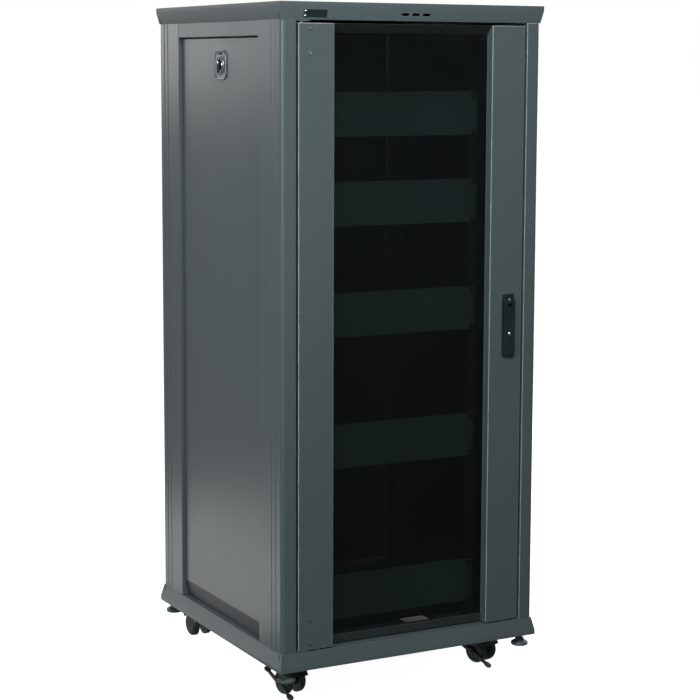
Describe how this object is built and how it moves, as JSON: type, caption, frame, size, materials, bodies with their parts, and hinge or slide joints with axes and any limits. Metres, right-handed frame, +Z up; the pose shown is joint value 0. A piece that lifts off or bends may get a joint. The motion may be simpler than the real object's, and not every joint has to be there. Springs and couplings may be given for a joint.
{
  "type": "network server rack cabinet",
  "caption": "Free-standing 19 inch rack cabinet with a smoked glass front door, lift-off side panels, a vented rear door, casters and levelling feet.",
  "frame": {"origin": "on the floor under the centre of the cabinet", "axes": "+Z up, +X to the right seen from the front, the glass door faces -Y"},
  "size_m": [0.58, 0.601, 1.346],
  "materials": {
    "grey_paint": "semi-gloss dark grey powder coat",
    "inner_paint": "satin dark grey powder coat",
    "zinc": "zinc plate",
    "black_metal": "semi-gloss black",
    "latch_metal": "satin grey die casting",
    "chrome": "polished",
    "badge": "satin black, blank",
    "smoked_glass": "smoked, polished",
    "rubber": "matt black",
    "foot_metal": "black steel",
    "black_plastic": "moulded black nylon",
    "wheel_plastic": "smooth black nylon"
  },
  "bodies": {
    "cabinet": {"base_skirt": "grey_paint", "floor_pan": "inner_paint", "cap_frame": "grey_paint", "top_panel": "grey_paint", "post_front_left": "grey_paint", "post_front_right": "grey_paint", "post_rear_left": "grey_paint", "post_rear_right": "grey_paint", "side_rails": "grey_paint", "rack_rails_front": "inner_paint", "rack_rails_rear": "inner_paint", "depth_braces": "inner_paint", "blank_panel_1": "inner_paint", "blank_panel_2": "inner_paint", "blank_panel_3": "inner_paint", "blank_panel_4": "inner_paint", "blank_panel_5": "inner_paint", "rack_screws": "zinc", "hinge_brackets": "zinc", "door_strikes": "zinc", "badge_plate": "badge", "caster_plates": "zinc", "caster_bolts": "zinc", "foot_nuts": "zinc"},
    "front_door": {"door_stile_left": "grey_paint", "door_stile_right": "grey_paint", "door_rails": "inner_paint", "door_window": "smoked_glass", "window_gasket": "rubber", "door_hinges": "zinc", "door_screws": "zinc", "handle_plate": "black_metal"},
    "handle_rotor": {"handle_rotor": "black_metal", "lever_pin": "zinc", "latch_cam": "zinc"},
    "handle_lever": {"handle_lever": "black_metal"},
    "lock_cylinder": {"lock_cylinder": "chrome"},
    "rear_door": {"rear_door": "grey_paint", "rear_hinges": "zinc"},
    "rear_lock": {"rear_lock": "black_metal"},
    "side_panel_left": {"side_panel_left": "grey_paint", "side_latch_plate_left": "latch_metal"},
    "side_latch_left": {"side_latch_left": "black_metal"},
    "side_panel_right": {"side_panel_right": "grey_paint", "side_latch_plate_right": "latch_metal"},
    "side_latch_right": {"side_latch_right": "black_metal"},
    "foot_front_left": {"foot_front_left": "foot_metal"},
    "foot_front_right": {"foot_front_right": "foot_metal"},
    "foot_rear_left": {"foot_rear_left": "foot_metal"},
    "foot_rear_right": {"foot_rear_right": "foot_metal"},
    "caster_swivel_front_left": {"caster_hood_front_left": "black_plastic"},
    "caster_wheels_front_left": {"caster_wheels_front_left": "wheel_plastic"},
    "brake_front_left": {"brake_pedal_front_left": "black_plastic"},
    "caster_swivel_front_right": {"caster_hood_front_right": "black_plastic"},
    "caster_wheels_front_right": {"caster_wheels_front_right": "wheel_plastic"},
    "brake_front_right": {"brake_pedal_front_right": "black_plastic"},
    "caster_swivel_rear_left": {"caster_hood_rear_left": "black_plastic"},
    "caster_wheels_rear_left": {"caster_wheels_rear_left": "wheel_plastic"},
    "caster_swivel_rear_right": {"caster_hood_rear_right": "black_plastic"},
    "caster_wheels_rear_right": {"caster_wheels_rear_right": "wheel_plastic"}
  },
  "joints": [
    {"name": "front_door_hinge", "type": "hinge", "parent": "cabinet", "child": "front_door", "pos_m": [-0.2385, -0.282, 0.711], "axis": [0, 0, -1], "range_deg": [0, 115]},
    {"name": "handle_turn", "type": "hinge", "parent": "front_door", "child": "handle_rotor", "pos_m": [0.2165, -0.29, 0.768], "axis": [0, 1, 0], "range_deg": [0, 90]},
    {"name": "lever_lift", "type": "hinge", "parent": "handle_rotor", "child": "handle_lever", "pos_m": [0.2165, -0.2965, 0.768], "axis": [-1, 0, 0], "range_deg": [0, 35]},
    {"name": "key_turn", "type": "hinge", "parent": "handle_lever", "child": "lock_cylinder", "pos_m": [0.2165, -0.298, 0.701], "axis": [0, 1, 0], "range_deg": [0, 90]},
    {"name": "rear_door_hinge", "type": "hinge", "parent": "cabinet", "child": "rear_door", "pos_m": [-0.2385, 0.282, 0.711], "axis": [0, 0, 1], "range_deg": [0, 115]},
    {"name": "rear_lock_turn", "type": "hinge", "parent": "rear_door", "child": "rear_lock", "pos_m": [0.2165, 0.29, 0.768], "axis": [0, 1, 0], "range_deg": [0, 90]},
    {"name": "side_panel_left_lift_off", "type": "slide", "parent": "cabinet", "child": "side_panel_left", "axis": [-1, 0, 0], "range_m": [0, 0.12]},
    {"name": "side_latch_left_turn", "type": "hinge", "parent": "side_panel_left", "child": "side_latch_left", "pos_m": [-0.284, -0.006, 1.229], "axis": [1, 0, 0], "range_deg": [0, 90]},
    {"name": "side_panel_right_lift_off", "type": "slide", "parent": "cabinet", "child": "side_panel_right", "axis": [1, 0, 0], "range_m": [0, 0.12]},
    {"name": "side_latch_right_turn", "type": "hinge", "parent": "side_panel_right", "child": "side_latch_right", "pos_m": [0.284, -0.006, 1.229], "axis": [1, 0, 0], "range_deg": [0, 90]},
    {"name": "foot_front_left_screw", "type": "slide", "parent": "cabinet", "child": "foot_front_left", "axis": [0, 0, -1], "range_m": [0, 0.049]},
    {"name": "foot_front_right_screw", "type": "slide", "parent": "cabinet", "child": "foot_front_right", "axis": [0, 0, -1], "range_m": [0, 0.049]},
    {"name": "foot_rear_left_screw", "type": "slide", "parent": "cabinet", "child": "foot_rear_left", "axis": [0, 0, -1], "range_m": [0, 0.049]},
    {"name": "foot_rear_right_screw", "type": "slide", "parent": "cabinet", "child": "foot_rear_right", "axis": [0, 0, -1], "range_m": [0, 0.049]},
    {"name": "caster_front_left_swivel", "type": "hinge", "parent": "cabinet", "child": "caster_swivel_front_left", "pos_m": [-0.22, -0.181, 0.06], "axis": [0, 0, 1], "continuous": true},
    {"name": "caster_front_left_roll", "type": "hinge", "parent": "caster_swivel_front_left", "child": "caster_wheels_front_left", "pos_m": [-0.21878, -0.19495, 0.025], "axis": [0.9962, 0.0872, 0], "continuous": true},
    {"name": "caster_front_left_brake", "type": "hinge", "parent": "caster_swivel_front_left", "child": "brake_front_left", "pos_m": [-0.21878, -0.19495, 0.025], "axis": [-0.9962, -0.0872, 0], "range_deg": [0, 14]},
    {"name": "caster_front_right_swivel", "type": "hinge", "parent": "cabinet", "child": "caster_swivel_front_right", "pos_m": [0.22, -0.181, 0.06], "axis": [0, 0, 1], "continuous": true},
    {"name": "caster_front_right_roll", "type": "hinge", "parent": "caster_swivel_front_right", "child": "caster_wheels_front_right", "pos_m": [0.22386, -0.19446, 0.025], "axis": [0.9613, 0.2756, 0], "continuous": true},
    {"name": "caster_front_right_brake", "type": "hinge", "parent": "caster_swivel_front_right", "child": "brake_front_right", "pos_m": [0.22386, -0.19446, 0.025], "axis": [-0.9613, -0.2756, 0], "range_deg": [0, 14]},
    {"name": "caster_rear_left_swivel", "type": "hinge", "parent": "cabinet", "child": "caster_swivel_rear_left", "pos_m": [-0.22, 0.236, 0.06], "axis": [0, 0, 1], "continuous": true},
    {"name": "caster_rear_left_roll", "type": "hinge", "parent": "caster_swivel_rear_left", "child": "caster_wheels_rear_left", "pos_m": [-0.22, 0.25, 0.025], "axis": [-1, 0, 0], "continuous": true},
    {"name": "caster_rear_right_swivel", "type": "hinge", "parent": "cabinet", "child": "caster_swivel_rear_right", "pos_m": [0.22, 0.236, 0.06], "axis": [0, 0, 1], "continuous": true},
    {"name": "caster_rear_right_roll", "type": "hinge", "parent": "caster_swivel_rear_right", "child": "caster_wheels_rear_right", "pos_m": [0.21408, 0.24869, 0.025], "axis": [-0.9063, -0.4226, 0], "continuous": true}
  ]
}
